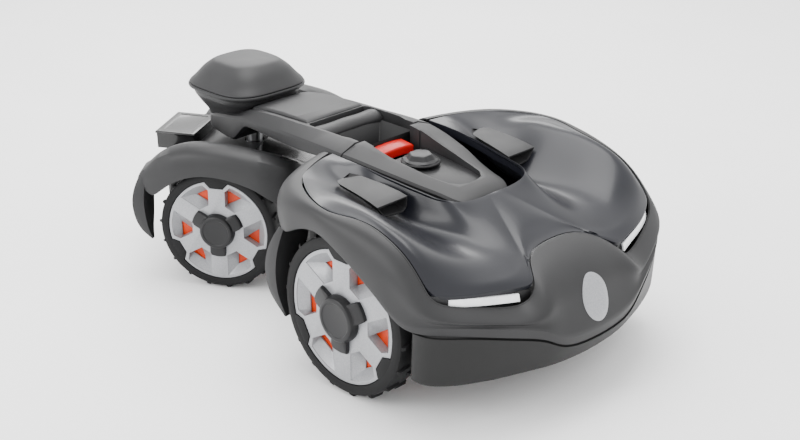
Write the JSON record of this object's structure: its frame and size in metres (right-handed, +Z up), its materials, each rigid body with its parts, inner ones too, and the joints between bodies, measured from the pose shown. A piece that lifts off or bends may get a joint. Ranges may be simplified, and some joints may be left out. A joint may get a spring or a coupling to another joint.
{
  "type": "robotic lawn mower",
  "caption": "Articulated four-wheel robotic mower: wide nosed front body with a steered rear body, driven wheels and a height-adjustable disc of pivoting blades underneath.",
  "frame": {"origin": "on the ground under the middle of the machine as it stands with the rear body turned", "axes": "+Z up; nose towards -Y; +X is the mower's left"},
  "size_m": [0.5502, 0.9966, 0.35],
  "materials": {
    "hood_gloss": "gloss moulded, dark blue-grey",
    "frame_grey": "matte moulded, mid grey",
    "body_black": "matte moulded, near black",
    "tyre_rubber": "moulded rubber",
    "hubcap_silver": "satin silver lacquer",
    "core_orange": "moulded in colour",
    "lens_white": "frosted lens",
    "stop_red": "satin moulded",
    "smoke_clear": "smoked gloss",
    "bare_steel": "bright steel",
    "motor_casing": "cast casing",
    "cell_pack": "shrink sleeve",
    "board_green": "solder resist"
  },
  "bodies": {
    "front_body": {"front_chassis": "body_black", "hood": "hood_gloss", "frame_cover": "frame_grey", "front_skirt": "body_black", "battery_pack": "cell_pack", "circuit_board": "board_green", "height_carrier": "body_black", "console_cover": "frame_grey", "console_panel": "smoke_clear", "knob_collar": "body_black", "spine_beam": "frame_grey", "handle_bar": "frame_grey", "spine_hatch": "frame_grey", "receiver_base": "frame_grey", "receiver_dome": "frame_grey", "light_strip_l": "lens_white", "light_strip_r": "lens_white", "sensor_pod_l": "hood_gloss", "sensor_pod_r": "hood_gloss", "sensor_cone_l": "bare_steel", "sensor_cone_r": "bare_steel", "front_mudguard_l": "frame_grey", "front_mudguard_r": "frame_grey", "wheel_motor_fl": "motor_casing", "wheel_motor_fr": "motor_casing"},
    "rear_body": {"rear_chassis": "body_black", "rear_battery": "cell_pack", "rear_cover": "frame_grey", "rear_box": "body_black", "rear_mudguard_l": "frame_grey", "rear_mudguard_r": "frame_grey", "steering_pin": "bare_steel", "steering_motor": "bare_steel", "wheel_motor_rl": "motor_casing", "wheel_motor_rr": "motor_casing"},
    "cutting_head": {"cutting_motor": "bare_steel"},
    "blade_disc": {"cutting_disc": "body_black"},
    "skid": {"skid_plate": "body_black"},
    "blade_a": {"blade_1": "bare_steel"},
    "blade_b": {"blade_2": "bare_steel"},
    "blade_c": {"blade_3": "bare_steel"},
    "stop_key": {"stop_button": "stop_red"},
    "selector": {"control_knob": "smoke_clear"},
    "front_left_wheel": {"tyre_fl": "tyre_rubber", "wheel_core_fl": "core_orange", "hubcap_fl": "hubcap_silver", "centre_cap_fl": "body_black"},
    "front_right_wheel": {"tyre_fr": "tyre_rubber", "wheel_core_fr": "core_orange", "hubcap_fr": "hubcap_silver", "centre_cap_fr": "body_black"},
    "rear_left_wheel": {"tyre_rl": "tyre_rubber", "wheel_core_rl": "core_orange", "hubcap_rl": "hubcap_silver", "centre_cap_rl": "body_black"},
    "rear_right_wheel": {"tyre_rr": "tyre_rubber", "wheel_core_rr": "core_orange", "hubcap_rr": "hubcap_silver", "centre_cap_rr": "body_black"}
  },
  "joints": [
    {"name": "steering", "type": "hinge", "parent": "front_body", "child": "rear_body", "pos_m": [0, 0.26868, 0.2], "axis": [0, 0, 1], "range_deg": [-68, 8]},
    {"name": "cutting_height", "type": "slide", "parent": "front_body", "child": "cutting_head", "axis": [0, 0, 1], "range_m": [0, 0.03]},
    {"name": "disc_spin", "type": "hinge", "parent": "cutting_head", "child": "blade_disc", "pos_m": [0, -0.22832, 0.032], "axis": [0, 0, 1], "continuous": true},
    {"name": "skid_spin", "type": "hinge", "parent": "blade_disc", "child": "skid", "pos_m": [0, -0.22832, 0.021], "axis": [0, 0, 1], "continuous": true},
    {"name": "stop_press", "type": "slide", "parent": "front_body", "child": "stop_key", "axis": [0, 0, -1], "range_m": [0, 0.003], "stiffness_N_per_m": 900},
    {"name": "selector_turn", "type": "hinge", "parent": "front_body", "child": "selector", "pos_m": [0, -0.13232, 0.27], "axis": [0, 0, 1], "continuous": true},
    {"name": "blade_swing_a", "type": "hinge", "parent": "blade_disc", "child": "blade_a", "pos_m": [0.094, -0.22832, 0.029], "axis": [0, 0, 1], "range_deg": [-80, 80]},
    {"name": "blade_swing_b", "type": "hinge", "parent": "blade_disc", "child": "blade_b", "pos_m": [-0.047, -0.14691, 0.029], "axis": [0, 0, 1], "range_deg": [-80, 80]},
    {"name": "blade_swing_c", "type": "hinge", "parent": "blade_disc", "child": "blade_c", "pos_m": [-0.047, -0.30972, 0.029], "axis": [0, 0, 1], "range_deg": [-80, 80]},
    {"name": "front_left_wheel_roll", "type": "hinge", "parent": "front_body", "child": "front_left_wheel", "pos_m": [0.24, -0.22832, 0.1253], "axis": [1, 0, 0], "continuous": true},
    {"name": "front_right_wheel_roll", "type": "hinge", "parent": "front_body", "child": "front_right_wheel", "pos_m": [-0.24, -0.22832, 0.1253], "axis": [1, 0, 0], "continuous": true},
    {"name": "rear_left_wheel_roll", "type": "hinge", "parent": "rear_body", "child": "rear_left_wheel", "pos_m": [0.14722, 0.35368, 0.10475], "axis": [0.866, 0.5, 0], "continuous": true},
    {"name": "rear_right_wheel_roll", "type": "hinge", "parent": "rear_body", "child": "rear_right_wheel", "pos_m": [-0.14722, 0.18368, 0.10475], "axis": [0.866, 0.5, 0], "continuous": true}
  ]
}
